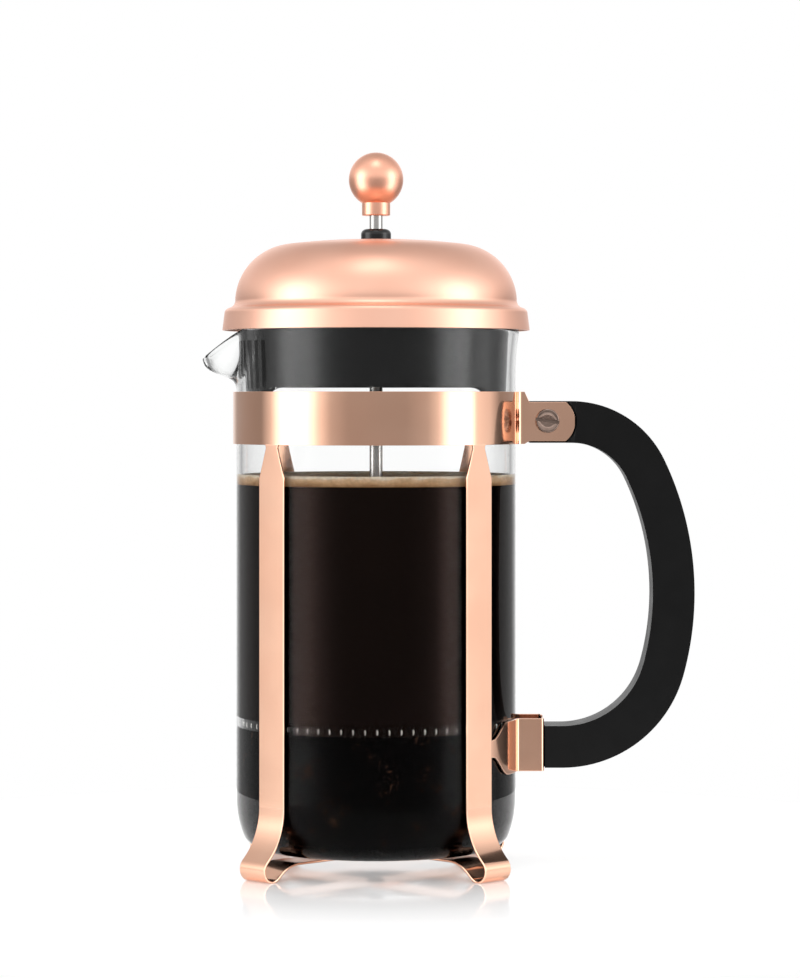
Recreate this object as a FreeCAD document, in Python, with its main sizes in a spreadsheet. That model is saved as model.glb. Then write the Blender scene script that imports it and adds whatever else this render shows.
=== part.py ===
import FreeCAD, Part
import os
import re
import Sketcher

# A one-litre french press, in millimetres. The axis of the glass beaker is Z, the table
# is z = 0, the handle points along +X and the pouring spout along -X.

os.makedirs("parts", exist_ok=True)
doc = FreeCAD.newDocument("french_press")
sheet = doc.addObject("Spreadsheet::Sheet", "Sheet")

DIMENSIONS = {
    # glass beaker
    "glass_radius": 47.75, "glass_wall": 1.9, "glass_base": 6.8, "glass_floor": 2.2,
    "glass_heel": 24, "glass_punt": 1.5, "glass_neck": 165, "rim_flare": 1.3, "rim_height": 184,
    "spout_reach": 59.4, "spout_tip": 173.4, "spout_root": 160,
    # sheet metal frame: band, legs and handle brackets
    "metal": 0.8, "band_inner": 48.15, "band_low": 144.7, "band_high": 162.5,
    "tab_side": 7.4, "tab_reach": 67.8, "tab_low": 145.7, "tab_high": 159.0, "tab_start": 51.7,
    "band_bend": 2.9, "leg_width": 12.0, "leg_neck": 5.6, "leg_shoulder": 133.5, "leg_bend": 24,
    "flare_radius": 23.3, "foot_radius": 4.2, "foot_flat": 0.15, "neck_taper": 10,
    "instep_radius": 12, "strap_height": 6.1, "rivet_radius": 1.8, "rivet_head": 3.6,
    "bracket_low": 33.5, "bracket_high": 51.4, "bracket_reach": 57.2, "bracket_side": 8.2,
    "bracket_neck_low": 40.2, "bracket_neck_high": 46.05, "bracket_lip": 4.6,
    "bracket_bend": 1.6, "lip_round": 0.6, "bracket_taper": 39.8, "bracket_full": 44.4,
    # handle
    "handle_high": 152.2, "handle_low": 41.7, "handle_out": 101.3, "handle_middle": 94,
    "handle_shoulder": 27.9, "handle_back": 98, "handle_heel": 35.6,
    "handle_depth": 14.2, "handle_width": 17, "handle_round": 3.0, "handle_start": 52.45,
    "handle_end": 49.35, "fit_gap": 0.3,
    # clamp screw and nut
    "screw_across": 58.3, "screw_up": 152.6, "screw_radius": 2, "screw_head": 4.1,
    "screw_head_depth": 2.1, "slot_width": 1.0, "slot_depth": 1.1, "nut_flats": 7.0,
    "nut_depth": 3.2,
    # lid
    "lid_radius": 52.6, "lid_low": 183.5, "lid_shelf": 191.0, "lid_waist": 48.2,
    "lid_top": 214.4, "lid_hole": 4.0, "dome_foot": 194.2, "dome_crown": 29.0, "plate_low": 184.2,
    "plate_thick": 2.0,
    "skirt_radius": 44.5, "skirt_wall": 1.6, "skirt_flare": 0.7, "skirt_low": 158,
    "arch_height": 164,
    "arch_half": 38.5, "grille_low": 163.5, "grille_high": 180, "slot_gap": 2.4,
    "bush_radius": 5.15, "bush_low": 214.6, "bush_high": 218.2, "stem_radius": 3.8,
    "tube_inner": 3.9, "tube_outer": 6.0, "bush_bore": 2.35, "ring_radius": 7.2,
    "ring_depth": 4.0, "stop_radius": 4.2, "stop_depth": 2.8,
    # plunger
    "ball_radius": 9.33, "ball_height": 235.1, "collar_radius": 4.83, "collar_low": 222.8,
    "collar_high": 227.7, "rod_radius": 2.25, "rod_low": 42.2, "rod_high": 239.5,
    "stack": 48.0, "spiral_edge": 43.3, "spring_ring": 43.1, "spring_wire": 1.2,
    "mesh_flat": 43.6, "mesh_edge": 45.3, "mesh_thick": 0.4, "cross_edge": 39.5,
    "cross_thick": 1.2, "hub_radius": 6.5, "hub_spigot": 4.5,
}
for row, (alias, number) in enumerate(DIMENSIONS.items(), start=1):
    sheet.set("A%d" % row, alias)
    sheet.set("B%d" % row, str(number))
    sheet.setAlias("B%d" % row, alias)
doc.recompute()

FUNCTIONS = ("sqrt", "sin", "cos", "tan")
SAME_PLACE = 1e-6
FULL_TURN = 360


def linked(text):
    """The same expression with each alias pointing at the sheet."""
    def link(match):
        word = match.group()
        return word if word in FUNCTIONS else "Sheet." + word
    return re.sub(r"[a-z][a-z_]+", link, str(text))


def value(text):
    """The number that an expression stands for."""
    return float(sheet.evalExpression(linked(text)))


def bind(thing, name, text):
    thing.setExpression(name, linked(text))


def new_body(name, turn=0):
    """A body of its own, turned about the Z axis."""
    body = doc.addObject("PartDesign::Body", name)
    body.Label = name
    body.Placement = FreeCAD.Placement(FreeCAD.Vector(0, 0, 0),
                                       FreeCAD.Rotation(FreeCAD.Vector(0, 0, 1), turn))
    return body


def new_sketch(body, plane, offset="0"):
    """A sketch on one of the body's own origin planes, moved along that plane's normal."""
    sketch = body.newObject("Sketcher::SketchObject", body.Name + "_sketch")
    sketch.AttachmentSupport = [(origin_feature(body, plane), "")]
    sketch.MapMode = "FlatFace"
    bind(sketch, "AttachmentOffset.Base.z", offset)
    doc.recompute()
    return sketch


def origin_feature(body, role):
    return next(item for item in body.Origin.OriginFeatures if item.Role == role)


def hold_point(sketch, geometry, position, x, y):
    """Tie a point of the sketch to two sheet expressions."""
    for kind, text, axis in (("DistanceX", x, -2), ("DistanceY", y, -1)):
        if str(text) == "0":
            sketch.addConstraint(Sketcher.Constraint("PointOnObject", geometry, position, axis))
        else:
            number = sketch.addConstraint(
                Sketcher.Constraint(kind, -1, 1, geometry, position, value(text)))
            bind(sketch, "Constraints[%d]" % number, text)


def point(x, y):
    return FreeCAD.Vector(value(x), value(y), 0)


def draw_edge(sketch, start, corner):
    """A line to a corner given as (x, y), or an arc through the bend point to a corner given
    as (x, y, bend x, bend y). The answer is the new edge's start and its end."""
    here, last = point(*corner[:2]), point(*start[:2])
    if len(corner) == 4:
        bend = point(*corner[2:])
        edge = sketch.addGeometry(Part.Arc(last, bend, here))
        mark = sketch.addGeometry(Part.Point(bend), True)
        hold_point(sketch, mark, 1, corner[2], corner[3])
        sketch.addConstraint(Sketcher.Constraint("PointOnObject", mark, 1, edge))
    else:
        edge = sketch.addGeometry(Part.LineSegment(last, here))
    forward = sketch.getPoint(edge, 2).distanceToPoint(here) < SAME_PLACE
    return ((edge, 1), (edge, 2)) if forward else ((edge, 2), (edge, 1))


def draw(sketch, corners):
    """A closed outline, with a line or an arc to each corner."""
    edges = [draw_edge(sketch, corners[number - 1], corner)
             for number, corner in enumerate(corners)]
    for number, corner in enumerate(corners):
        end, following = edges[number][1], edges[(number + 1) % len(corners)][0]
        sketch.addConstraint(Sketcher.Constraint("Coincident", *end, *following))
        hold_point(sketch, *end, corner[0], corner[1])


def draw_circle(sketch, x, y, radius):
    circle = sketch.addGeometry(Part.Circle(point(x, y), FreeCAD.Vector(0, 0, 1), value(radius)))
    hold_point(sketch, circle, 3, x, y)
    number = sketch.addConstraint(Sketcher.Constraint("Radius", circle, value(radius)))
    bind(sketch, "Constraints[%d]" % number, radius)


def draw_path(sketch, corners):
    """An open path, drawn like an outline; its first corner is where it starts."""
    last_end = None
    for start_corner, corner in zip(corners, corners[1:]):
        start, end = draw_edge(sketch, start_corner, corner)
        if last_end:
            sketch.addConstraint(Sketcher.Constraint("Coincident", *last_end, *start))
        else:
            hold_point(sketch, *start, *start_corner)
        hold_point(sketch, *end, corner[0], corner[1])
        last_end = end


def revolve(body, corners):
    """Turn an outline in the XZ plane once round the Z axis."""
    sketch = new_sketch(body, "XZ_Plane")
    draw(sketch, corners)
    feature = body.newObject("PartDesign::Revolution", body.Name + "_revolve")
    feature.Profile = sketch
    feature.ReferenceAxis = (sketch, ["V_Axis"])
    feature.Angle = FULL_TURN
    doc.recompute()
    return feature


def pad(body, sketch, length, symmetric=False):
    feature = body.newObject("PartDesign::Pad", body.Name + "_pad")
    feature.Profile = sketch
    feature.SideType = "Symmetric" if symmetric else "One side"
    bind(feature, "Length", length)
    doc.recompute()
    return feature


def pocket(body, sketch, length, symmetric=False, reverse=False):
    """Cut a sketch into the body and make sure that it took something away."""
    before = body.Shape.Volume
    feature = body.newObject("PartDesign::Pocket", body.Name + "_pocket")
    feature.Profile = sketch
    feature.SideType = "Symmetric" if symmetric else "One side"
    feature.Reversed = reverse
    bind(feature, "Length", length)
    doc.recompute()
    if body.Shape.Volume > before - 1e-3:
        raise ValueError(body.Name + ": a pocket cut nothing")
    return feature


def sweep(body, profile, spine):
    feature = body.newObject("PartDesign::AdditivePipe", body.Name + "_pipe")
    feature.Profile = profile
    feature.Spine = (spine, [])
    doc.recompute()
    return feature


def rectangle(left, right, low, high):
    return [(left, low), (right, low), (right, high), (left, high)]


def make_glass():
    """The beaker: a turned wall with a beak, hollowed by the same two shapes made smaller."""
    outside = new_body("beaker_outside")
    revolve(outside, [
        ("0", "glass_base + glass_punt"),
        ("30", "glass_base", "15", "glass_base + glass_punt * 0.75"),
        ("38", "glass_base"),
        ("glass_radius - 2.55", "glass_base + 4.2", "42.2", "glass_base + 1.15"),
        ("glass_radius", "glass_heel", "glass_radius - 0.95", "glass_base + 9.2"),
        ("glass_radius", "glass_neck"),
        ("glass_radius + rim_flare", "rim_height - 1.5", "glass_radius + 0.35", "rim_height - 9"),
        ("glass_radius + rim_flare - 1", "rim_height",
         "glass_radius + rim_flare - 0.25", "rim_height - 0.4"),
        ("0", "rim_height"),
    ])
    inner = "(glass_radius - glass_wall)"
    inside = new_body("beaker_inside")
    revolve(inside, [
        ("0", "glass_base + glass_punt + glass_floor"),
        ("30", "glass_base + glass_floor", "15", "glass_base + glass_floor + glass_punt * 0.75"),
        ("37.5", "glass_base + glass_floor"),
        (inner + " - 2.2", "glass_base + glass_floor + 3.1", "41.1",
         "glass_base + glass_floor + 0.95"),
        (inner, "glass_heel", inner + " - 0.85", "glass_base + glass_floor + 7.4"),
        (inner, "glass_neck"),
        (inner + " + rim_flare", "rim_height - 1.5", inner + " + 0.35", "rim_height - 9"),
        (inner + " + rim_flare + 0.7", "rim_height + 2"),
        ("0", "rim_height + 2"),
    ])
    beaks = []
    # each rib: distance from the axis, half width, top and bottom
    for name, thin, lift in (("outside", "0", "0"), ("inside", "glass_wall * 0.8", "6")):
        ribs = [
            ("glass_radius - 4", "17 - " + thin, "rim_height + " + lift, "spout_root + " + thin),
            ("glass_radius + 2.5", "12.5 - " + thin, "rim_height - 2.6 + " + lift,
             "spout_root + 8.2 + " + thin),
            ("spout_reach - 3.6", "7.6 - " + thin, "rim_height - 6.6 + " + lift,
             "spout_tip - 1.4 + " + thin),
            ("spout_reach", "4.2 - " + thin, "spout_tip + 1.2 + " + lift, "spout_tip + " + thin),
        ]
        sections = []
        for number, (out, half, top, bottom) in enumerate(ribs):
            rib = doc.addObject("Sketcher::SketchObject", "rib_%s_%d" % (name, number))
            rib.Placement = FreeCAD.Placement(FreeCAD.Vector(0, 0, 0),
                                              FreeCAD.Rotation(FreeCAD.Vector(1, 1, 1), 120))
            bind(rib, ".Placement.Base.x", "-(" + out + ")")
            draw(rib, [("-(" + half + ")", top), (half, top, "0", bottom)])
            sections.append(rib)
        loft = doc.addObject("Part::Loft", "beak_" + name)
        loft.Sections = sections
        loft.Solid = True
        beaks.append(loft)
    doc.recompute()
    glass, hollow = (doc.addObject("Part::Fuse", name) for name in ("glass_full", "glass_hollow"))
    glass.Base, glass.Tool = outside, beaks[0]
    hollow.Base, hollow.Tool = inside, beaks[1]
    beaker = doc.addObject("Part::Cut", "glass_beaker")
    beaker.Base, beaker.Tool = glass, hollow
    return beaker


def make_band():
    """The collar band: one strip bent round the glass, its two ends turned out as clamp tabs."""
    band = new_body("collar_band")
    middle = "(band_inner + metal / 2)"
    side = "(tab_side + metal / 2)"
    bend_y = "(" + side + " + band_bend)"
    ring = "(" + middle + " + band_bend)"
    bend_x = "sqrt(" + ring + " ^ 2 - " + bend_y + " ^ 2)"
    touch_x = bend_x + " * " + middle + " / " + ring
    touch_y = bend_y + " * " + middle + " / " + ring
    # halfway round the small bend, seen from its own centre
    half_x = bend_x + " - band_bend * sin(34)"
    half_y = bend_y + " - band_bend * cos(34)"
    spine = new_sketch(band, "XY_Plane")
    draw_path(spine, [
        ("tab_reach", "-" + side),
        (bend_x, "-" + side),
        (touch_x, "-" + touch_y, half_x, "-(" + half_y + ")"),
        (touch_x, touch_y, "-" + middle, "0"),
        (bend_x, side, half_x, half_y),
        ("tab_reach", side),
    ])
    profile = new_sketch(band, "YZ_Plane", "tab_reach")
    draw(profile, rectangle("-(tab_side + metal)", "-tab_side", "band_low", "band_high"))
    sweep(band, profile, spine)
    trim = new_sketch(band, "XZ_Plane")
    tab_end = "(tab_reach - 3.2)"
    draw(trim, [
        ("tab_start", "band_high + 5"), ("tab_start", "tab_high"), (tab_end, "tab_high"),
        (tab_end, "tab_low", "tab_reach", "(tab_low + tab_high) / 2"),
        ("tab_start", "tab_low"), ("tab_start", "band_low - 5"),
        ("tab_reach + 5", "band_low - 5"), ("tab_reach + 5", "band_high + 5"),
    ])
    pocket(band, trim, "60", symmetric=True)
    hole = new_sketch(band, "XZ_Plane")
    draw_circle(hole, "screw_across", "screw_up", "screw_radius")
    pocket(band, hole, "60", symmetric=True)
    return band


def make_strap(name, turn, lower):
    """A strap: a leg, a curled foot, the run under the beaker, and the leg across from it."""
    strap = new_body(name + "_strip", turn)
    leg = "(band_inner + metal / 2)"
    curl = "(foot_radius - metal / 2)"
    foot_z = "(foot_radius - foot_flat)"
    flare_x = "(" + leg + " + flare_radius)"
    reach = "(flare_radius + " + curl + ")"
    foot_x = "(" + flare_x + " - sqrt(" + reach + " ^ 2 - (leg_bend - " + foot_z + ") ^ 2))"
    share = " * flare_radius / " + reach
    touch_x = flare_x + " - (" + flare_x + " - " + foot_x + ")" + share
    touch_z = "leg_bend - (leg_bend - " + foot_z + ")" + share
    run = "(strap_height - " + lower + ")"
    # the sole ends 40 degrees past the lowest point and a straight instep rises from it
    sole_x = foot_x + " - " + curl + " * sin(40)"
    sole_z = foot_z + " - " + curl + " * cos(40)"
    rise = "(" + run + " - (" + sole_z + "))"
    corner_x = "(" + sole_x + " - " + rise + " / tan(40))"
    tangent = "(instep_radius * tan(20))"
    spine = new_sketch(strap, "XZ_Plane")
    draw_path(spine, [
        (leg, "band_low"),
        (leg, "leg_bend"),
        (touch_x, touch_z, flare_x + " - flare_radius * cos(23)",
         "leg_bend - flare_radius * sin(23)"),
        (sole_x, sole_z, foot_x + " + " + curl + " * cos(41)",
         foot_z + " - " + curl + " * sin(41)"),
        (corner_x + " + " + tangent + " * cos(40)", run + " - " + tangent + " * sin(40)"),
        (corner_x + " - " + tangent, run,
         corner_x + " - " + tangent + " + instep_radius * sin(20)",
         run + " - instep_radius * (1 - cos(20))"),
        ("0", run),
    ])
    profile = new_sketch(strap, "XY_Plane", "band_low")
    draw(profile, rectangle("band_inner", "band_inner + metal", "-leg_width / 2", "leg_width / 2"))
    sweep(strap, profile, spine)
    for side in ("", "-"):
        taper = new_sketch(strap, "YZ_Plane")
        draw(taper, [
            (side + "leg_neck / 2", "band_low + 1"), (side + "leg_neck / 2", "leg_shoulder + neck_taper"),
            (side + "leg_width / 2", "leg_shoulder"), (side + "leg_width", "leg_shoulder"),
            (side + "leg_width", "band_low + 1"),
        ])
        pocket(strap, taper, "200", symmetric=True)
    flat = new_sketch(strap, "XZ_Plane")
    draw(flat, rectangle("30", "70", "-5", "0"))
    pocket(strap, flat, "leg_width * 2", symmetric=True)
    mirror = strap.newObject("PartDesign::Mirrored", name + "_mirror")
    mirror.TransformMode = "Whole shape"
    mirror.MirrorPlane = (origin_feature(strap, "YZ_Plane"), [""])
    strap.Tip = mirror
    doc.recompute()
    hole = new_sketch(strap, "XY_Plane")
    draw_circle(hole, "0", "0", "rivet_radius")
    pocket(strap, hole, "40", symmetric=True)
    return strap


def make_bracket(name, sign):
    """Half of the lower handle socket, on the front (sign -) or the rear (sign empty)."""
    bracket = new_body(name + "_bracket")
    middle = "(band_inner + metal / 2)"
    side = "(bracket_side + metal / 2)"
    bend = "bracket_bend"
    bend_y = "(" + side + " + " + bend + ")"
    ring = "(" + middle + " + " + bend + ")"
    bend_x = "sqrt(" + ring + " ^ 2 - " + bend_y + " ^ 2)"
    touch_x = bend_x + " * " + middle + " / " + ring
    touch_y = bend_y + " * " + middle + " / " + ring
    lip_x = "(bracket_reach - metal / 2)"
    spine = new_sketch(bracket, "XY_Plane")
    draw_path(spine, [
        (middle + " * cos(39)", sign + middle + " * sin(39)"),
        (touch_x, sign + touch_y, middle + " * cos(24)", sign + middle + " * sin(24)"),
        (bend_x, sign + side, bend_x + " - " + bend + " * sin(34)",
         sign + "(" + bend_y + " - " + bend + " * cos(34))"),
        (lip_x + " - lip_round", sign + side),
        (lip_x, sign + "(" + side + " - lip_round)",
         lip_x + " - lip_round * (1 - cos(45))",
         sign + "(" + side + " - lip_round * (1 - cos(45)))"),
        (lip_x, sign + "bracket_lip"),
    ])
    profile = new_sketch(bracket, "XZ_Plane", "0")
    profile.AttachmentOffset = FreeCAD.Placement(
        FreeCAD.Vector(0, 0, 0), FreeCAD.Rotation(FreeCAD.Vector(0, 1, 0), -39 if sign else 39))
    draw(profile, rectangle("band_inner", "band_inner + metal", "bracket_low", "bracket_high"))
    sweep(bracket, profile, spine)
    for near, far, neck in (("bracket_high", "+ 5", "bracket_neck_high"),
                            ("bracket_low", "- 5", "bracket_neck_low")):
        trim = new_sketch(bracket, "XZ_Plane")
        draw(trim, [("30", neck), ("bracket_taper", neck), ("bracket_full", near),
                    ("bracket_full", near + far),
                    ("30", near + far)])
        pocket(bracket, trim, "120", symmetric=True)
    return bracket


def make_frame_straps():
    straps = []
    for name, turn, sign, lower in (("front_right_strap", -45, "-", "0"),
                                    ("rear_right_strap", 45, "", "metal")):
        strap = doc.addObject("Part::Fuse", name)
        strap.Base = make_strap(name, turn, lower)
        strap.Tool = make_bracket(name, sign)
        strap.Label = name
        straps.append(strap)
    return straps


def make_rivet():
    """The rivet that joins the two straps under the beaker."""
    rivet = new_body("base_rivet")
    low = "(strap_height - metal * 1.5)"
    high = "(strap_height + metal / 2)"
    revolve(rivet, [
        ("0", low + " - 0.7"), ("rivet_head - 0.8", low + " - 0.7"),
        ("rivet_head", low, "rivet_head - 0.2", low + " - 0.45"),
        ("rivet_radius", low), ("rivet_radius", high), ("rivet_head", high),
        ("rivet_head - 0.8", high + " + 0.6", "rivet_head - 0.2", high + " + 0.4"),
        ("0", high + " + 0.6"),
    ])
    return rivet


def make_handle():
    """The D-shaped handle: a rounded bar swept along three arcs, then cut for its fixings."""
    handle = new_body("handle")
    back_x = "(handle_out - handle_back)"
    top_z = "(handle_high - handle_shoulder)"
    low_z = "(handle_low + handle_heel)"
    top_x = "(%s + sqrt((handle_back - handle_shoulder) ^ 2 - (%s - handle_middle) ^ 2))" % (
        back_x, top_z)
    low_x = "(%s + sqrt((handle_back - handle_heel) ^ 2 - (%s - handle_middle) ^ 2))" % (
        back_x, low_z)
    top_share = " * handle_back / (handle_back - handle_shoulder)"
    low_share = " * handle_back / (handle_back - handle_heel)"
    spine = new_sketch(handle, "XZ_Plane")
    draw_path(spine, [
        ("handle_start", "handle_high"),
        (top_x, "handle_high"),
        (back_x + " + (" + top_x + " - " + back_x + ")" + top_share,
         "handle_middle + (" + top_z + " - handle_middle)" + top_share,
         top_x + " + handle_shoulder * cos(57)",
         top_z + " + handle_shoulder * sin(57)"),
        (back_x + " + (" + low_x + " - " + back_x + ")" + low_share,
         "handle_middle + (" + low_z + " - handle_middle)" + low_share,
         "handle_out", "handle_middle"),
        (low_x, "handle_low",
         low_x + " + handle_heel * cos(55)", low_z + " - handle_heel * sin(55)"),
        ("handle_end", "handle_low"),
    ])
    profile = new_sketch(handle, "YZ_Plane", "handle_start")
    half, tall, edge = "(handle_width / 2)", "(handle_depth / 2)", "handle_round"
    corner = edge + " * (1 - cos(45))"
    outline = []
    for y, z, first in (("-", "-", "side"), ("", "-", "end"), ("", "", "side"), ("-", "", "end")):
        along = (y + "(" + half + " - " + edge + ")", "handle_high + " + (z or "") + tall)
        across = (y + half, "handle_high + " + (z or "") + "(" + tall + " - " + edge + ")")
        bend = (y + "(" + half + " - " + corner + ")",
                "handle_high + " + (z or "") + "(" + tall + " - " + corner + ")")
        start, end = (across, along) if first == "side" else (along, across)
        outline += [start, end + bend]
    draw(profile, outline)
    sweep(handle, profile, spine)
    tab_end = "(tab_reach - 3.2 + 0.4)"
    middle = "(tab_low + tab_high) / 2"
    seat = "(handle_width / 2 - tab_side)"
    hook = "(handle_width / 2 - bracket_side + 0.1)"
    throat = "(handle_width / 2 - bracket_lip + fit_gap)"
    # flats under the tabs, a slimmer hook in the lower socket, and grooves for its lips
    cuts = [
        (seat, [("45", "tab_low - 6"), (tab_end, "tab_low - 0.4"),
                (tab_end, "tab_high + 0.4", "tab_reach + 0.5", middle),
                ("45", "tab_high + 6")]),
        (hook, rectangle("45", "bracket_reach + fit_gap", "25", "60")),
        (throat, rectangle("bracket_reach - metal - 0.1", "bracket_reach + fit_gap", "25", "60")),
    ]
    for depth, shape in cuts:
        for side in ("-", ""):
            outer = "(handle_width / 2)"
            face = new_sketch(handle, "XZ_Plane", side + outer)
            draw(face, shape)
            pocket(handle, face, depth, reverse=(side == "-"))
    hole = new_sketch(handle, "XZ_Plane")
    draw_circle(hole, "screw_across", "screw_up", "screw_radius")
    pocket(handle, hole, "40", symmetric=True)
    return handle


def make_clamp():
    """The slotted clamp screw, whose head is in front, and its hexagon nut at the rear."""
    screw = new_body("clamp_screw")
    face = "(tab_side + metal)"
    for radius, start, length in (("screw_head", face, "screw_head_depth"),
                                  ("screw_radius", "-(" + face + " + nut_depth + 0.8)",
                                   face + " * 2 + nut_depth + 0.8")):
        disc = new_sketch(screw, "XZ_Plane", start)
        draw_circle(disc, "screw_across", "screw_up", radius)
        pad(screw, disc, length)
    slot = new_sketch(screw, "XZ_Plane", face + " + screw_head_depth")
    lean = "(screw_head * 0.14)"
    draw(slot, [
        ("screw_across - screw_head - 1", "screw_up + " + lean + " - slot_width / 2"),
        ("screw_across + screw_head + 1", "screw_up - " + lean + " - slot_width / 2"),
        ("screw_across + screw_head + 1", "screw_up - " + lean + " + slot_width / 2"),
        ("screw_across - screw_head - 1", "screw_up + " + lean + " + slot_width / 2"),
    ])
    pocket(screw, slot, "slot_depth")
    nut = new_body("clamp_nut")
    hexagon = new_sketch(nut, "XZ_Plane", "-" + face)
    outer = "(nut_flats / 2 / cos(30))"
    draw(hexagon, [("screw_across + %s * cos(%d)" % (outer, angle),
                    "screw_up + %s * sin(%d)" % (outer, angle))
                   for angle in range(0, 360, 60)])
    draw_circle(hexagon, "screw_across", "screw_up", "screw_radius")
    feature = nut.newObject("PartDesign::Pad", "clamp_nut_pad")
    feature.Profile = hexagon
    feature.Reversed = True
    bind(feature, "Length", "nut_depth")
    doc.recompute()
    return [screw, nut]


def make_dome():
    """The spun metal lid, one sheet thick."""
    dome = new_body("lid_dome")
    revolve(dome, [
        ("lid_hole", "lid_top"),
        ("dome_crown", "lid_top - 2.1", "17", "lid_top - 0.55"),
        ("lid_waist", "dome_foot", "41.9", "dome_foot + 12.1"),
        ("lid_waist + 2", "lid_shelf + 0.2", "lid_waist + 0.55", "lid_shelf + 1.3"),
        ("lid_radius - 1.0", "lid_shelf - 0.5"),
        ("lid_radius", "lid_shelf - 1.5", "lid_radius - 0.3", "lid_shelf - 0.8"),
        ("lid_radius", "lid_low"),
        ("lid_radius - metal", "lid_low"),
        ("lid_radius - metal", "lid_shelf - 1.6"),
        ("lid_waist + 1.6", "lid_shelf - 0.7"),
        ("lid_waist - metal", "dome_foot", "lid_waist - 0.2", "lid_shelf + 0.9"),
        ("dome_crown - 0.2", "lid_top - 2.1 - metal", "41.35", "dome_foot + 11.5"),
        ("lid_hole", "lid_top - metal", "17", "lid_top - 0.55 - metal"),
    ])
    return dome


def make_insert():
    """The plastic inner lid: a plate, the guide tube on it and the skirt that strains the pour."""
    insert = new_body("lid_insert")
    plate_high = "(plate_low + plate_thick)"
    revolve(insert, [
        ("tube_inner", "plate_low"), ("skirt_radius - skirt_wall", "plate_low"),
        ("skirt_radius - skirt_wall", "skirt_low"), ("skirt_radius + 0.4", "skirt_low"),
        ("skirt_radius + 0.4", "skirt_low + 0.9"), ("skirt_radius", "skirt_low + 1.3"),
        ("skirt_radius", "grille_low"), ("skirt_radius + skirt_flare", "grille_high"),
        ("skirt_radius + skirt_flare", "plate_low"), ("lid_radius - metal", "plate_low"),
        ("lid_radius - metal", plate_high), ("tube_outer", plate_high),
        ("tube_outer", "lid_top - metal - 0.2"), ("tube_inner", "lid_top - metal - 0.2"),
    ])
    arch = new_sketch(insert, "XZ_Plane")
    draw(arch, [
        ("-arch_half - 3", "skirt_low - 2"), ("arch_half + 3", "skirt_low - 2"),
        ("arch_half", "skirt_low + 2"),
        ("arch_half - 5", "arch_height", "arch_half - 1.2", "arch_height - 1.2"),
        ("-arch_half + 5", "arch_height"),
        ("-arch_half", "skirt_low + 2", "-arch_half + 1.2", "arch_height - 1.2"),
    ])
    pocket(insert, arch, "120", symmetric=True)
    slot = new_sketch(insert, "YZ_Plane")
    draw(slot, rectangle("-slot_gap / 2", "slot_gap / 2", "grille_low", "grille_high"))
    first = pocket(insert, slot, "60")
    for backwards in (False, True):
        fan = insert.newObject("PartDesign::PolarPattern", "grille_fan")
        fan.Originals = [first]
        fan.Axis = (origin_feature(insert, "Z_Axis"), [""])
        fan.Angle = 35
        fan.Occurrences = 7
        fan.Reversed = backwards
        insert.Tip = fan
        doc.recompute()
    return insert


def make_guide():
    """The rod's bush on top of the lid, and the ring that locks it under the inner lid."""
    bush = new_body("lid_bush")
    revolve(bush, [
        ("bush_bore", "plate_low - ring_depth - 0.2"), ("stem_radius", "plate_low - ring_depth - 0.2"),
        ("stem_radius", "bush_low"), ("bush_radius", "bush_low"),
        ("bush_radius", "bush_low + 1.3"),
        ("bush_radius - 1.9", "bush_high", "bush_radius - 0.5", "bush_high - 0.7"),
        ("bush_bore", "bush_high"),
    ])
    ring = new_body("lock_ring")
    revolve(ring, [
        ("stem_radius", "plate_low - ring_depth - 0.1"),
        ("ring_radius - 0.6", "plate_low - ring_depth - 0.1"),
        ("ring_radius", "plate_low - ring_depth + 0.5"), ("ring_radius", "plate_low - 0.1"),
        ("stem_radius", "plate_low - 0.1"),
    ])
    return [bush, ring]


def make_knob():
    """The ball knob and the short collar under it, both bored for the rod."""
    ball = new_body("knob_ball")
    top = "ball_height + ball_radius"
    seat = "(ball_height - sqrt(ball_radius ^ 2 - collar_radius ^ 2))"
    revolve(ball, [
        ("0", top),
        ("collar_radius", seat, "ball_radius * cos(5)",
         "ball_height + ball_radius * sin(5)"),
        ("collar_radius", "collar_high"),
        ("rod_radius", "collar_high"),
        ("rod_radius", "rod_high"),
        ("0", "rod_high"),
    ])
    collar = new_body("knob_collar")
    revolve(collar, [
        ("rod_radius", "collar_low"), ("collar_radius - 0.25", "collar_low"),
        ("collar_radius", "collar_low + 0.25"), ("collar_radius", "collar_high"),
        ("rod_radius", "collar_high"),
    ])
    return [ball, collar]


def make_rod():
    rod = new_body("plunger_rod")
    revolve(rod, [
        ("0", "rod_low"), ("rod_radius - 0.4", "rod_low"), ("rod_radius", "rod_low + 0.4"),
        ("rod_radius", "rod_high"), ("0", "rod_high"),
    ])
    stop = new_body("rod_stop")
    high = "(stack + metal)"
    revolve(stop, [
        ("rod_radius", high), ("stop_radius", high),
        ("stop_radius", high + " + stop_depth - 0.4"),
        ("stop_radius - 0.4", high + " + stop_depth"), ("rod_radius", high + " + stop_depth"),
    ])
    return [rod, stop]


def make_spiral_plate():
    """The pierced top plate whose edge carries the sealing spring."""
    plate = new_body("spiral_plate")
    high = "(stack + metal)"
    revolve(plate, [
        ("rod_radius", "stack"), ("spiral_edge", "stack"), ("spiral_edge", high),
        ("rod_radius", high),
    ])
    for ring, radius, count in (("13", "2.6", 6), ("23", "3.0", 12), ("33.5", "3.0", 18)):
        hole = new_sketch(plate, "XY_Plane", "stack - 1")
        draw_circle(hole, ring, "0", radius)
        first = pocket(plate, hole, "4", reverse=True)
        fan = plate.newObject("PartDesign::PolarPattern", "hole_ring")
        fan.Originals = [first]
        fan.Axis = (origin_feature(plate, "Z_Axis"), [""])
        fan.Angle = FULL_TURN
        fan.Occurrences = count
        plate.Tip = fan
        doc.recompute()
    return plate


def make_spring():
    """The coiled spring that seals against the glass, as the ring that it fills."""
    spring = doc.addObject("Part::Torus", "rim_spring")
    bind(spring, "Radius1", "spring_ring")
    bind(spring, "Radius2", "spring_wire")
    bind(spring, ".Placement.Base.z", "stack + metal + spring_wire")
    return spring


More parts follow.
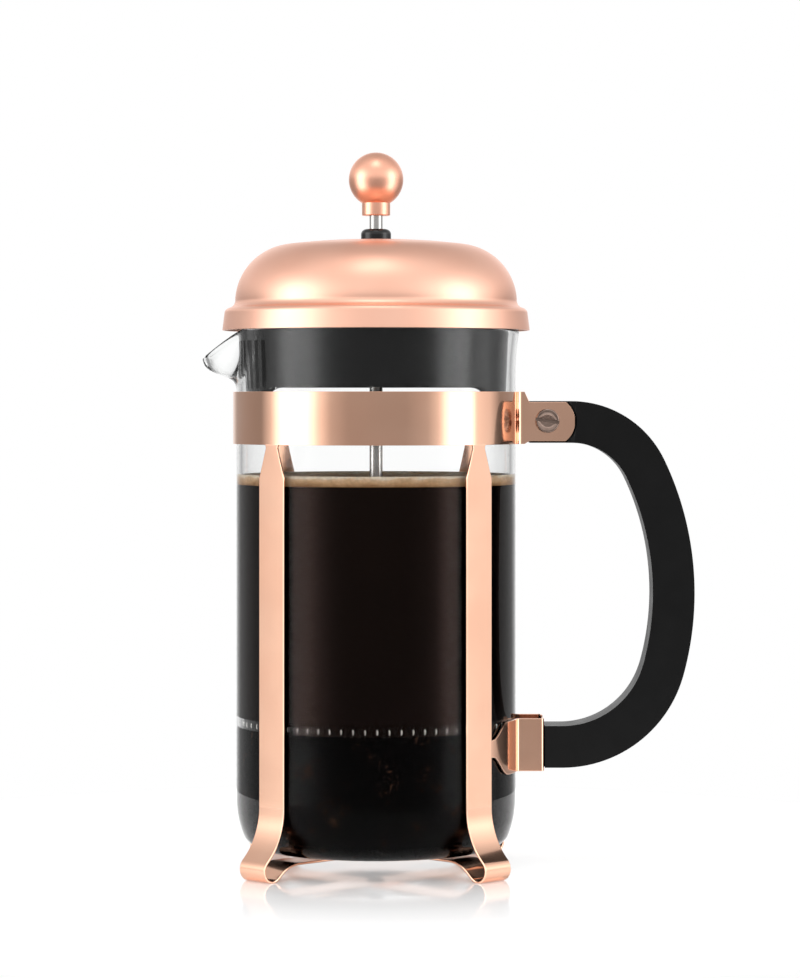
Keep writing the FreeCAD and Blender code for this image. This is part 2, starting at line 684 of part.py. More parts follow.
def make_mesh():
    """The fine filter mesh: a flat disc with its edge turned up round the spring."""
    mesh = new_body("filter_mesh")
    low = "(stack - mesh_thick)"
    revolve(mesh, [
        ("rod_radius", low), ("mesh_flat + 0.2", low), ("mesh_edge - 0.15", "stack + 2.2"),
        ("mesh_edge", "stack + 3.4"), ("mesh_edge - mesh_thick", "stack + 3.4"),
        ("mesh_edge - 0.15 - mesh_thick", "stack + 2.3"), ("mesh_flat + 0.15", "stack"),
        ("rod_radius", "stack"),
    ])
    return mesh


def make_cross():
    """The bottom plate, cut away to a cross inside a ring, and the threaded hub swaged in it."""
    cross = new_body("cross_plate")
    high = "(stack - mesh_thick)"
    low = "(stack - mesh_thick - cross_thick)"
    revolve(cross, [
        ("hub_spigot", low), ("cross_edge", low), ("cross_edge", high), ("hub_spigot", high),
    ])
    window = new_sketch(cross, "XY_Plane", low + " - 1")
    draw(window, [("13", "4.5"), ("cross_edge - 4.5", "4.5"),
                  ("4.5", "cross_edge - 4.5", "(cross_edge - 4) * 0.7071",
                   "(cross_edge - 4) * 0.7071"),
                  ("4.5", "13")])
    first = pocket(cross, window, "4", reverse=True)
    fan = cross.newObject("PartDesign::PolarPattern", "windows")
    fan.Originals = [first]
    fan.Axis = (origin_feature(cross, "Z_Axis"), [""])
    fan.Angle = FULL_TURN
    fan.Occurrences = 4
    cross.Tip = fan
    hub = new_body("threaded_hub")
    revolve(hub, [
        ("rod_radius", "rod_low"), ("hub_radius - 0.5", "rod_low"),
        ("hub_radius", "rod_low + 0.5"), ("hub_radius", low), ("hub_spigot", low),
        ("hub_spigot", high), ("rod_radius", high),
    ])
    return [cross, hub]


pieces = [make_glass(), make_band()] + make_frame_straps() + [make_rivet(), make_handle()]
pieces += make_clamp() + [make_dome(), make_insert()] + make_guide() + make_knob() + make_rod()
pieces += [make_spiral_plate(), make_spring(), make_mesh()] + make_cross()
doc.recompute()

for item in doc.Objects:
    if "Invalid" in item.State or "Error" in item.State:
        raise ValueError(item.Name + " did not compute: " + str(item.State))
for piece in pieces:
    if piece.Shape.isNull() or not piece.Shape.isValid():
        raise ValueError(piece.Label + " has no valid shape")
    piece.Shape.exportStep("parts/" + piece.Label + ".step")
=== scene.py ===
import math

import bpy
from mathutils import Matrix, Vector


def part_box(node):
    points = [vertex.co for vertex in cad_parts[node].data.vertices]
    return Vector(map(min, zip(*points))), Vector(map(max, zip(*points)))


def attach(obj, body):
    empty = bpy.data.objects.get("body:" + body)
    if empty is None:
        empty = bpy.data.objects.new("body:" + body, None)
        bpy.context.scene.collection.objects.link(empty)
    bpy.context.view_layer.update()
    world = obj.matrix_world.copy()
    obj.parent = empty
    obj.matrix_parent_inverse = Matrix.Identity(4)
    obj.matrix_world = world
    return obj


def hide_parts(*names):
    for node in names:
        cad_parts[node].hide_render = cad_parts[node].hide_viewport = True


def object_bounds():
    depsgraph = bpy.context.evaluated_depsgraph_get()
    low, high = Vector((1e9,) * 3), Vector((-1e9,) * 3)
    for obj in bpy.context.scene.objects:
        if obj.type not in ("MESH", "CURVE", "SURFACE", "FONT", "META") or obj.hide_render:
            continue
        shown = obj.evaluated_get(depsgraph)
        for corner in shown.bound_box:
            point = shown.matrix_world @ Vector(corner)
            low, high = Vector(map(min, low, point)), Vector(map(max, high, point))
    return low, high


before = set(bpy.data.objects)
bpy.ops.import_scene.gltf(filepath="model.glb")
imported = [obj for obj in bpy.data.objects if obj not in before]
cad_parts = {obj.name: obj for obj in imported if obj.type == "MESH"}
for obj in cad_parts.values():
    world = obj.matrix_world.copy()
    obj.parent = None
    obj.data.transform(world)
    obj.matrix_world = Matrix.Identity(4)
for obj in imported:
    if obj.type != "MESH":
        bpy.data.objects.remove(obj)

cad_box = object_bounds()
mm = 0.001


# ---- Camera ----
# A long lens on a low tripod, a little over a metre in front of the press and level with its
# band. The lens is shifted down a little to take in the feet.
camera_place = (8.2 * mm, -1184 * mm, 160 * mm)
bpy.ops.object.camera_add(location=camera_place, rotation=(math.pi / 2, 0, 0))
camera = bpy.context.object
camera.name = "camera"
camera.data.lens = 127.25
camera.data.shift_y = -0.092
camera.data.clip_end = 30
bpy.context.scene.camera = camera
bpy.context.scene.view_settings.view_transform = "Standard"


# ---- Studio ----
# Tall white soft boxes stand left and right of the press, a smaller one hangs over its front,
# and a lit white sheet hangs behind it. It stands on a sheet of glossy white acrylic.
def add_node(tree, kind, sockets=(), **settings):
    """A node of that kind, its sockets set to values or joined to other nodes' outputs."""
    node = tree.nodes.new("ShaderNode" + kind)
    for setting, value in settings.items():
        setattr(node, setting, value)
    for socket, value in dict(sockets).items():
        if isinstance(value, bpy.types.NodeSocket):
            tree.links.new(value, node.inputs[socket])
        else:
            node.inputs[socket].default_value = value
    return node


def add_math(tree, operation, first, second=0.0):
    """The result of one step of arithmetic on two values or outputs."""
    return add_node(tree, "Math", {0: first, 1: second}, operation=operation).outputs[0]


def add_ramp(tree, factor, stops, interpolation="LINEAR"):
    """A colour ramp through stops of (place, grey or colour)."""
    node = add_node(tree, "ValToRGB", {"Fac": factor})
    ramp = node.color_ramp
    ramp.interpolation = interpolation
    while len(ramp.elements) < len(stops):
        ramp.elements.new(0.5)
    for element, (place, _) in zip(ramp.elements, stops):
        element.position = place
    for element, (_, shade) in zip(ramp.elements, stops):
        colour = (shade, shade, shade) if isinstance(shade, float) else shade
        element.color = (*colour, 1)
    return node.outputs["Color"]


def add_mix(tree, factor, first, second, way="MIX"):
    node = add_node(tree, "Mix", {0: factor, 6: first, 7: second}, data_type="RGBA", blend_type=way)
    return node.outputs[2]


def grey(shade):
    return (shade, shade, shade, 1)


box_strength = 3.0
overhead_strength = 1.7
ceiling_strength = 1.05
studio = bpy.data.worlds.new("studio")
bpy.context.scene.world = studio
studio.use_nodes = True
room = studio.node_tree
room.nodes.clear()
towards = add_node(room, "TexCoord").outputs["Generated"]
parts = add_node(room, "SeparateXYZ", {0: towards})
towards_camera = add_math(room, "MULTIPLY", parts.outputs["Y"], -1.0)
round_the_room = add_math(room, "ARCTAN2", parts.outputs["X"], towards_camera)
turn_place = add_math(room, "ADD", add_math(room, "DIVIDE", round_the_room, 2 * math.pi), 0.5)
height_angle = add_math(room, "ARCSINE", parts.outputs["Z"])
height_place = add_math(room, "ADD", add_math(room, "DIVIDE", height_angle, math.pi), 0.5)


def round_stop(degrees, shade):
    """A stop on the ramp round the room: 0 degrees is the camera's side, and 90 the handle's."""
    return (degrees / 360 + 0.5, shade)


def height_stop(degrees, shade):
    return (degrees / 180 + 0.5, shade)


walls = add_ramp(room, turn_place, [
    round_stop(-180, 0.33), round_stop(-163, 0.30), round_stop(-150, 0.14),
    round_stop(-104, 0.10), round_stop(-92, 0.30), round_stop(-80, 0.95), round_stop(-58, 0.95),
    round_stop(-46, 0.40), round_stop(-36, 0.20), round_stop(-22, 0.135),
    round_stop(24, 0.125), round_stop(42, 0.17), round_stop(52, 0.30), round_stop(62, 0.90),
    round_stop(82, 0.95), round_stop(88, 0.36), round_stop(104, 0.30), round_stop(118, 0.10),
    round_stop(150, 0.14),
    round_stop(163, 0.30), round_stop(180, 0.33),
])
wall_height = add_ramp(room, height_place, [
    height_stop(-60, 0.3), height_stop(-40, 1.0), height_stop(12, 1.0), height_stop(24, 0.5),
    height_stop(38, 0.0),
])
wall_light = add_mix(room, 1.0, walls, wall_height, "MULTIPLY")
wall_light = add_mix(room, 1.0, wall_light, grey(box_strength), "MULTIPLY")
ceiling_round = add_ramp(room, turn_place, [
    round_stop(-180, 0.50), round_stop(-150, 0.60), round_stop(-115, 0.66), round_stop(-80, 0.95),
    round_stop(80, 0.95), round_stop(115, 0.66), round_stop(150, 0.60), round_stop(180, 0.50),
])
ceiling_height = add_ramp(room, height_place, [
    height_stop(1, 0.0), height_stop(7, 0.35), height_stop(15, 0.85), height_stop(30, 1.0),
    height_stop(90, 1.0),
])
ceiling = add_mix(room, 1.0, ceiling_round, ceiling_height, "MULTIPLY")
ceiling = add_mix(room, 1.0, ceiling, grey(ceiling_strength), "MULTIPLY")
overhead_round = add_ramp(room, turn_place, [
    round_stop(-40, 0.0), round_stop(-18, 1.0), round_stop(18, 1.0), round_stop(40, 0.0),
])
overhead_height = add_ramp(room, height_place, [
    height_stop(50, 0.0), height_stop(64, 1.0), height_stop(84, 1.0), height_stop(89, 0.0),
])
overhead = add_mix(room, 1.0, overhead_round, overhead_height, "MULTIPLY")
overhead = add_mix(room, 1.0, overhead, grey(overhead_strength), "MULTIPLY")
lit = add_mix(room, 1.0, add_mix(room, 1.0, wall_light, ceiling, "ADD"), overhead, "ADD")
seen = add_node(room, "LightPath").outputs["Is Camera Ray"]
background = add_node(room, "Background", {"Color": add_mix(room, seen, lit, grey(1.0)), "Strength": 1.0})
add_node(room, "OutputWorld", {"Surface": background.outputs[0]})

table_radius = 245 * mm
table_drop = 0.02 * mm
fades = 4.0
acrylic = bpy.data.materials.new("white acrylic")
acrylic.use_nodes = True
tree = acrylic.node_tree
tree.nodes.clear()
place = add_node(tree, "TexCoord").outputs["Object"]
flat_place = add_node(tree, "VectorMath", {0: place, 1: (1, 1, 0)}, operation="MULTIPLY").outputs[0]
from_middle = add_node(tree, "VectorMath", {0: flat_place}, operation="LENGTH").outputs["Value"]
reach = add_ramp(tree, add_math(tree, "MULTIPLY", from_middle, fades), [
    (0.0, 1.0), (0.24, 1.0), (0.42, 0.5), (0.66, 0.0),
])
gloss = add_math(tree, "MULTIPLY", add_node(tree, "Fresnel", {"IOR": 3.6}).outputs[0], reach)
body_shader = add_node(tree, "BsdfPrincipled", {
    "Base Color": grey(0.86), "Roughness": 1.0, "Specular IOR Level": 0.0,
    "Emission Color": grey(1.0), "Emission Strength": 0.32,
})
gloss_shader = add_node(tree, "BsdfGlossy", {"Color": grey(1.0), "Roughness": 0.09})
mixed = add_node(tree, "MixShader", {0: gloss, 1: body_shader.outputs[0], 2: gloss_shader.outputs[0]})
add_node(tree, "OutputMaterial", {"Surface": mixed.outputs[0]})
bpy.ops.object.select_all(action="DESELECT")
bpy.ops.mesh.primitive_circle_add(vertices=96, radius=table_radius, fill_type="NGON",
                                  location=(0, 0, -table_drop))
table_top = bpy.context.object
table_top.name = "table_top"
table_top.data.materials.append(acrylic)


# ---- Glass beaker ----
# A thin cylinder of borosilicate glass with a rounded heel and a flared rim. Its wall is drawn
# on a lathe, and the spout is pulled out of the rim while the glass is soft.
def span(node):
    """The lowest and highest corners of a node's box, in millimetres."""
    low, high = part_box(node)
    return Vector(low) / mm, Vector(high) / mm


def bow(start, through, end, steps):
    """Points of the arc from start through a second point to end, without start itself."""
    (ax, ay), (bx, by), (cx, cy) = start, through, end
    double_area = 2 * (ax * (by - cy) + bx * (cy - ay) + cx * (ay - by))
    a, b, c = ax * ax + ay * ay, bx * bx + by * by, cx * cx + cy * cy
    middle_x = (a * (by - cy) + b * (cy - ay) + c * (ay - by)) / double_area
    middle_y = (a * (cx - bx) + b * (ax - cx) + c * (bx - ax)) / double_area
    first = math.atan2(ay - middle_y, ax - middle_x)
    passing = math.atan2(by - middle_y, bx - middle_x)
    last = math.atan2(cy - middle_y, cx - middle_x)
    sweep = (last - first) % (2 * math.pi)
    if (passing - first) % (2 * math.pi) > sweep:
        sweep -= 2 * math.pi
    radius = math.hypot(ax - middle_x, ay - middle_y)
    angles = [first + sweep * (i + 1) / steps for i in range(steps)]
    return [(middle_x + radius * math.cos(t), middle_y + radius * math.sin(t)) for t in angles]


def start_piece(name, place):
    """A new mesh in edit mode, with a single point at that place in millimetres."""
    bpy.ops.object.select_all(action="DESELECT")
    bpy.ops.mesh.primitive_plane_add(size=mm, location=(0, 0, 0))
    piece = bpy.context.object
    piece.name = name
    piece.data.name = name
    bpy.ops.object.mode_set(mode="EDIT")
    bpy.ops.mesh.select_mode(type="VERT")
    bpy.ops.mesh.select_all(action="SELECT")
    bpy.ops.mesh.merge(type="CENTER")
    bpy.ops.transform.translate(value=Vector(place) * mm)
    return piece


def extrude(step):
    bpy.ops.mesh.extrude_region_move(TRANSFORM_OT_translate={"value": Vector(step) * mm})


def close_up():
    """Merges doubled points, turns the faces outwards and leaves edit mode."""
    bpy.ops.mesh.select_all(action="SELECT")
    bpy.ops.mesh.remove_doubles(threshold=0.002 * mm)
    bpy.ops.mesh.normals_make_consistent(inside=False)
    bpy.ops.object.mode_set(mode="OBJECT")


def work(piece, kind, **settings):
    """Puts a modifier on the piece and applies it."""
    modifier = piece.modifiers.new(kind.lower(), kind)
    for setting, value in settings.items():
        setattr(modifier, setting, value)
    bpy.ops.object.select_all(action="DESELECT")
    piece.select_set(True)
    bpy.context.view_layer.objects.active = piece
    bpy.ops.object.modifier_apply(modifier=modifier.name)


def smooth(piece, degrees=35):
    bpy.ops.object.select_all(action="DESELECT")
    piece.select_set(True)
    bpy.context.view_layer.objects.active = piece
    bpy.ops.object.shade_smooth_by_angle(angle=math.radians(degrees))
    work(piece, "WEIGHTED_NORMAL", keep_sharp=True, weight=80)


def soften(piece, width, steps=3, degrees=32):
    """Rounds the piece's sharp edges."""
    work(piece, "BEVEL", width=width * mm, segments=steps, limit_method="ANGLE",
         angle_limit=math.radians(degrees), harden_normals=False)


def turn(name, outline, steps=144, edge=0.0):
    """Turns an outline of (radius, height) in millimetres once round the upright axis."""
    piece = start_piece(name, (outline[0][0], 0, outline[0][1]))
    for here, there in zip(outline, outline[1:]):
        extrude((there[0] - here[0], 0, there[1] - here[1]))
    bpy.ops.mesh.select_all(action="SELECT")
    bpy.ops.mesh.spin(steps=steps, angle=2 * math.pi, center=(0, 0, 0), axis=(0, 0, 1))
    close_up()
    if edge:
        soften(piece, edge)
    smooth(piece)
    return piece


def rows(start, end, count):
    """Evenly spaced points of a straight run, without its start."""
    return [tuple(a + (b - a) * (i + 1) / count for a, b in zip(start, end)) for i in range(count)]


low, high = span("glass_beaker")
glass_base = low.z
glass_rim = high.z
glass_radius = 47.75
wall = 1.9
inner_radius = glass_radius - wall
heel_height = 17.2
neck_start, neck_end = 155, 165
rim_radius = high.y - 0.05
outline = [(0, glass_base + 1.5)]
outline += bow(outline[-1], (18, glass_base + 1.15), (33, glass_base + 0.2), 10)
outline += [(38, glass_base)]
outline += bow(outline[-1], (42.2, glass_base + 1.15), (45.2, glass_base + 4.2), 8)
outline += bow(outline[-1], (46.8, glass_base + 9.2), (glass_radius, glass_base + heel_height), 8)
outline += rows(outline[-1], (glass_radius, neck_start), 12)
outline += rows(outline[-1], (glass_radius, neck_end), 6)
outline += bow(outline[-1], (glass_radius + 0.25, 174.5), (rim_radius, glass_rim - 1), 14)
outline += bow(outline[-1], (rim_radius - 0.95, glass_rim), (rim_radius - wall, glass_rim - 1), 6)
outline += bow(outline[-1], (inner_radius + 0.25, 174.5), (inner_radius, neck_end), 14)
outline += rows(outline[-1], (inner_radius, neck_start), 6)
outline += rows(outline[-1], (inner_radius, glass_base + heel_height), 12)
outline += bow(outline[-1], (45.0, glass_base + 9.7), (43.65, glass_base + 5.3), 8)
outline += bow(outline[-1], (41.2, glass_base + 3.1), (37.4, glass_base + 2.2), 8)
outline += bow(outline[-1], (20, glass_base + 3.2), (0, glass_base + 3.6), 10)
glass_beaker = turn("glass", outline, steps=160)

spout_reach = rim_radius + cad_box[0][0] / mm
spout_drop, spout_spread = 9.6, 20
spout_pull = (spout_reach * mm, 0, -spout_drop * mm)
bpy.ops.object.select_all(action="DESELECT")
glass_beaker.select_set(True)
bpy.context.view_layer.objects.active = glass_beaker
for vertex in glass_beaker.data.vertices:
    at = vertex.co / mm
    vertex.select = at.x < -rim_radius + wall + 0.6 and abs(at.y) < 2.6 and at.z > glass_rim - 1.4
for polygon in glass_beaker.data.polygons:
    polygon.select = False
for edge in glass_beaker.data.edges:
    edge.select = False
bpy.ops.object.mode_set(mode="EDIT")
bpy.ops.transform.translate(value=spout_pull, use_proportional_edit=True,
                            proportional_edit_falloff="SMOOTH", proportional_size=spout_spread * mm)
bpy.ops.object.mode_set(mode="OBJECT")
smooth(glass_beaker, 50)


def new_finish(name, **values):
    """A material, its node tree and its shader, with the values that are the same all over."""
    finish = bpy.data.materials.new(name)
    finish.use_nodes = True
    tree = finish.node_tree
    tree.nodes.clear()
    shader = add_node(tree, "BsdfPrincipled")
    for socket, value in values.items():
        shader.inputs[socket.replace("_", " ")].default_value = value
    add_node(tree, "OutputMaterial", {"Surface": shader.outputs[0]})
    return finish, tree, shader


def add_noise(tree, scale, detail=2.0, stretch=(1, 1, 1)):
    """Noise on the piece's own coordinates, with about scale lumps to the metre."""
    place = add_node(tree, "TexCoord").outputs["Object"]
    if stretch != (1, 1, 1):
        place = add_node(tree, "Mapping", {"Vector": place, "Scale": stretch}).outputs[0]
    return add_node(tree, "TexNoise", {"Vector": place, "Scale": scale, "Detail": detail}).outputs["Fac"]


def add_bump(tree, shader, height, strength, depth):
    """Raises the surface by a height pattern that is depth millimetres deep."""
    bump = add_node(tree, "Bump", {"Strength": strength, "Distance": depth * mm, "Height": height})
    tree.links.new(bump.outputs[0], shader.inputs["Normal"])


borosilicate, tree, shader = new_finish(
    "borosilicate glass", Transmission_Weight=1.0, IOR=1.46, Specular_IOR_Level=0.5,
    Specular_Tint=(0.06, 0.06, 0.06, 1))
tint = add_ramp(tree, add_noise(tree, 30), [(0.3, (0.985, 0.992, 0.988)), (0.7, (1.0, 1.0, 1.0))])
tree.links.new(tint, shader.inputs["Base Color"])
haze = add_ramp(tree, add_noise(tree, 55, 4), [(0.35, 0.0), (0.75, 0.018)])
tree.links.new(haze, shader.inputs["Roughness"])
glass_beaker.data.materials.append(borosilicate)
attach(glass_beaker, "beaker")
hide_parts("glass_beaker")


# ---- Coffee ----
# Brewed coffee fills the beaker to two thirds. Wet grounds lie pressed under the filter, and a
# ring of pale foam floats on top against the glass.
wet = 0.1
coffee_radius = inner_radius + wet
filter_low, filter_high = span("filter_mesh")
coffee_top = 130.9
foam_top = 134.4
grounds_top = filter_low.z - 0.1
floor_level = glass_base + 2.2 - wet
outline = [(0, glass_base + 3.6 - wet), (20, glass_base + 3.2 - wet), (37.4, floor_level)]
outline += bow(outline[-1], (41.2 + wet, floor_level + 0.95), (43.65 + wet, floor_level + 3.1), 8)
outline += bow(outline[-1], (45.0 + wet, floor_level + 7.5), (coffee_radius, floor_level + 15), 8)
lip = 1.0
lip_radius = inner_radius - 0.5
outline += [(coffee_radius, grounds_top + lip), (lip_radius, grounds_top + lip),
            (lip_radius, grounds_top), (0, grounds_top)]
grounds = turn("grounds", outline, steps=160)
seal_radius = inner_radius - 0.45
outline = [(0, grounds_top + 0.1), (seal_radius, grounds_top + 0.1), (seal_radius, filter_high.z + 0.5),
           (coffee_radius, filter_high.z + 0.5), (coffee_radius, coffee_top), (0, coffee_top)]
coffee = turn("coffee", outline, steps=160)
outline = [(0, coffee_top + 0.02), (coffee_radius, coffee_top + 0.02), (coffee_radius, foam_top)]
outline += bow(outline[-1], (coffee_radius - 1.4, foam_top - 0.65), (coffee_radius - 4.5, foam_top - 0.9), 5)
outline += [(0, foam_top - 1.0)]
foam = turn("foam", outline, steps=160)

brew, tree, shader = new_finish("brewed coffee", Specular_IOR_Level=0.26, IOR=1.34,
                                Specular_Tint=(1.0, 0.60, 0.50, 1))
tone = add_ramp(tree, add_noise(tree, 40, 3), [(0.35, (0.0012, 0.0007, 0.0005)),
                                               (0.7, (0.003, 0.0016, 0.0011))])
tree.links.new(tone, shader.inputs["Base Color"])
sheen = add_ramp(tree, add_noise(tree, 120, 2), [(0.3, 0.06), (0.8, 0.12)])
tree.links.new(sheen, shader.inputs["Roughness"])
coffee.data.materials.append(brew)
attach(coffee, "beaker")

wet_grounds, tree, shader = new_finish("wet coffee grounds", Specular_IOR_Level=0.02)
grains = add_noise(tree, 900, 4)
clumps = add_noise(tree, 110, 3)
speck = add_math(tree, "MULTIPLY", grains, clumps)
tone = add_ramp(tree, speck, [(0.25, (0.0008, 0.0006, 0.0005)), (0.36, (0.0022, 0.0012, 0.0009)),
                              (0.42, (0.045, 0.021, 0.012))])
tree.links.new(tone, shader.inputs["Base Color"])
sheen = add_ramp(tree, grains, [(0.35, 0.10), (0.7, 0.35)])
tree.links.new(sheen, shader.inputs["Roughness"])
add_bump(tree, shader, grains, 0.3, 0.15)
grounds.data.materials.append(wet_grounds)
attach(grounds, "beaker")

froth, tree, shader = new_finish("coffee foam", Roughness=0.9, Specular_IOR_Level=0.05,
                                 Subsurface_Weight=0.15, Subsurface_Radius=(0.0012, 0.0008, 0.0005))
place = add_node(tree, "TexCoord").outputs["Object"]
bubbles = add_node(tree, "TexVoronoi", {"Vector": place, "Scale": 900.0}).outputs["Distance"]
height = add_node(tree, "SeparateXYZ", {0: place}).outputs["Z"]
above_coffee = add_math(tree, "SUBTRACT", height, coffee_top * mm)
level = add_math(tree, "DIVIDE", above_coffee, (foam_top - coffee_top) * mm)
uneven = add_math(tree, "SUBTRACT", add_noise(tree, 160, 3, (1, 1, 3)), 0.5)
level = add_math(tree, "ADD", level, add_math(tree, "MULTIPLY", uneven, 0.9))
tone = add_ramp(tree, level, [(0.0, (0.36, 0.19, 0.09)), (0.3, (0.62, 0.38, 0.20)),
                              (0.72, (0.80, 0.56, 0.35)), (0.92, (0.95, 0.82, 0.64))])
speckle = add_ramp(tree, bubbles, [(0.0, 1.0), (0.5, 0.86), (0.8, 0.7)])
tree.links.new(add_mix(tree, 0.6, tone, speckle, "MULTIPLY"), shader.inputs["Base Color"])
add_bump(tree, shader, bubbles, 0.5, 0.3)
foam.data.materials.append(froth)
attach(foam, "beaker")


# ---- Collar band ----
# A strip of steel sheet bent round the beaker under the lid, plated with copper. Its two ends
# turn outwards into tabs that clamp the top of the handle between them.
def curl(middle, radius, start, end, steps):
    """Points of an arc about a middle, from one angle to another in degrees, both included."""
    angles = [math.radians(start + (end - start) * i / steps) for i in range(steps + 1)]
    return [(middle[0] + radius * math.cos(t), middle[1] + radius * math.sin(t)) for t in angles]


def lay_strip(name, run, across, widths, thickness, edge, steps=2):
    """Lays a strip along a run of points and gives it its thickness and rounded edges.

    across is the direction of its width, and widths holds the width at each point of the run."""
    across = Vector(across)
    run = [Vector(point) for point in run]
    piece = start_piece(name, run[0] - across * widths[0] / 2)
    extrude(across * widths[0])
    bpy.ops.mesh.select_all(action="SELECT")
    for here, there, width_here, width_there in zip(run, run[1:], widths, widths[1:]):
        extrude(there - here)
        if width_there != width_here:
            grow = Vector((1, 1, 1)) + Vector([abs(a) for a in across]) * (width_there / width_here - 1)
            bpy.ops.transform.resize(value=grow, center_override=there * mm)
    close_up()
    work(piece, "SOLIDIFY", thickness=thickness * mm, offset=0, use_even_offset=True)
    if edge:
        soften(piece, edge, steps, 40)
    smooth(piece)
    return piece


sheet = 0.8
band_low, band_high = span("collar_band")
ring_radius = 48.15 + sheet / 2
tab_side = 7.8
band_middle = (band_low.z + band_high.z) / 2
band_width = band_high.z - band_low.z
tab_low, tab_high = band_low.z + 1.0, band_low.z + 14.3
tab_middle = (tab_low + tab_high) / 2
tab_width = tab_high - tab_low
bend_radius = 2.9
bend_y = tab_side + bend_radius
bend_x = math.sqrt((ring_radius + bend_radius) ** 2 - bend_y ** 2)
meet = math.degrees(math.atan2(bend_y, bend_x))
tab_end = band_high.x
end_radius = 8.51
end_middle = tab_end - end_radius
half_run, half_widths = [], []
for x, half in reversed(curl((end_middle, 0), end_radius, 6, 51.4, 9)):
    half_run.append((x, -tab_side, tab_middle))
    half_widths.append(2 * half)
half_run, half_widths = half_run[::-1], half_widths[::-1]
tab_root = 52.2
for x in (62.0, 58.3, 55.0, tab_root):
    half_run.append((x, -tab_side, tab_middle))
    half_widths.append(tab_width)
for share in (0.25, 0.6, 0.85, 1.0):
    half_run.append((tab_root - 1.6 * share, -tab_side, tab_middle + (band_middle - tab_middle) * share))
    half_widths.append(tab_width + (band_width - tab_width) * share)
for x, y in curl((bend_x, -bend_y), bend_radius, 90, 180 - meet, 10):
    half_run.append((x, y, band_middle))
    half_widths.append(band_width)
ring = [(x, y, band_middle) for x, y in curl((0, 0), ring_radius, -meet, meet - 360, 150)[1:-1]]
other_run = [(x, -y, z) for x, y, z in reversed(half_run)]
band_run = half_run + ring + other_run
band_widths = half_widths + [band_width] * len(ring) + half_widths[::-1]
collar_band = lay_strip("band", band_run, (0, 0, 1), band_widths, sheet, 0.22)

copper_plate, tree, shader = new_finish("copper plating", Metallic=1.0)
tone = add_ramp(tree, add_noise(tree, 45, 3), [(0.3, (0.93, 0.535, 0.375)), (0.7, (0.96, 0.585, 0.42))])
tree.links.new(tone, shader.inputs["Base Color"])
polish = add_ramp(tree, add_noise(tree, 70, 5), [(0.3, 0.09), (0.7, 0.14)])
tree.links.new(polish, shader.inputs["Roughness"])
add_bump(tree, shader, add_noise(tree, 260, 3), 0.25, 0.004)
collar_band.data.materials.append(copper_plate)
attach(collar_band, "frame")
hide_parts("collar_band")


# ---- Straps ----
# Two strips of plated steel cross under the beaker. Each makes two legs and two curled feet,
# and half of the socket that holds the bottom of the handle is a wing on its right leg.
strap_width = 12.0
neck_width = 5.6
flare_middle, flare_radius = (71.85, 24.0), 23.3
foot_middle, foot_radius = (53.51, 4.05), 3.8
instep = 40
arch_radius = 12
wing_side = 8.6
wing_bend = 1.6
wing_end = 56.8
wing_from_angle = 39.5
wing_height, wing_lift = 43.1, 0.65
wing_narrow, wing_widening = 5.85, 12.05
leg_top = band_low.z


def join(pieces):
    """Joins pieces into the first of them."""
    bpy.ops.object.select_all(action="DESELECT")
    for piece in pieces:
        piece.select_set(True)
    bpy.context.view_layer.objects.active = pieces[0]
    bpy.ops.object.join()
    return pieces[0]


def settle(piece):
    """Fixes a piece's turn and place into its mesh."""
    bpy.ops.object.select_all(action="DESELECT")
    piece.select_set(True)
    bpy.context.view_layer.objects.active = piece
    bpy.ops.object.transform_apply(location=True, rotation=True, scale=True)


def carve(piece, tool):
    """Cuts one piece's shape out of another, and takes the cutting tool away."""
    work(piece, "BOOLEAN", operation="DIFFERENCE", object=tool, solver="EXACT")
    bpy.data.objects.remove(tool)


def make_block(low, high):
    """A plain block between two corners, as a cutting tool."""
    low, high = Vector(low), Vector(high)
    bpy.ops.object.select_all(action="DESELECT")
    bpy.ops.mesh.primitive_cube_add(size=1, location=(low + high) / 2 * mm, scale=(high - low) * mm)
    tool = bpy.context.object
    settle(tool)
    return tool


def make_strap(name, flat, degrees):
    """One strap: its run under the beaker is at height flat, and its plane is turned by degrees."""
    reach = math.hypot(flare_middle[0] - foot_middle[0], flare_middle[1] - foot_middle[1])
    flare_end = math.degrees(math.asin((flare_middle[1] - foot_middle[1]) / reach))
    half = [(ring_radius, z) for z in (leg_top + 0.3, leg_top - 0.5, leg_top - 1.2, leg_top - 11.2)]
    widths = [neck_width + 1.0, neck_width + 0.1, neck_width, strap_width]
    half += rows(half[-1], (ring_radius, flare_middle[1]), 8)
    half += curl(flare_middle, flare_radius, 180, 180 + flare_end, 14)[1:]
    half += curl(foot_middle, foot_radius, flare_end, -90 - instep, 22)[1:]
    rise = flat - arch_radius * (1 - math.cos(math.radians(instep))) - half[-1][1]
    step_end = (half[-1][0] - rise / math.tan(math.radians(instep)), half[-1][1] + rise)
    arch_middle = (step_end[0] - arch_radius * math.sin(math.radians(instep)), flat - arch_radius)
    half += curl(arch_middle, arch_radius, 90 - instep, 90, 7)
    half += rows(half[-1], (0, flat), 5)
    widths += [strap_width] * (len(half) - len(widths))
    run = [(r, 0, z) for r, z in half] + [(-r, 0, z) for r, z in reversed(half[:-1])]
    strap = lay_strip(name, run, (0, 1, 0), widths + widths[-2::-1], sheet, 0.2)
    strap.rotation_euler.z = math.radians(degrees)
    settle(strap)
    return strap


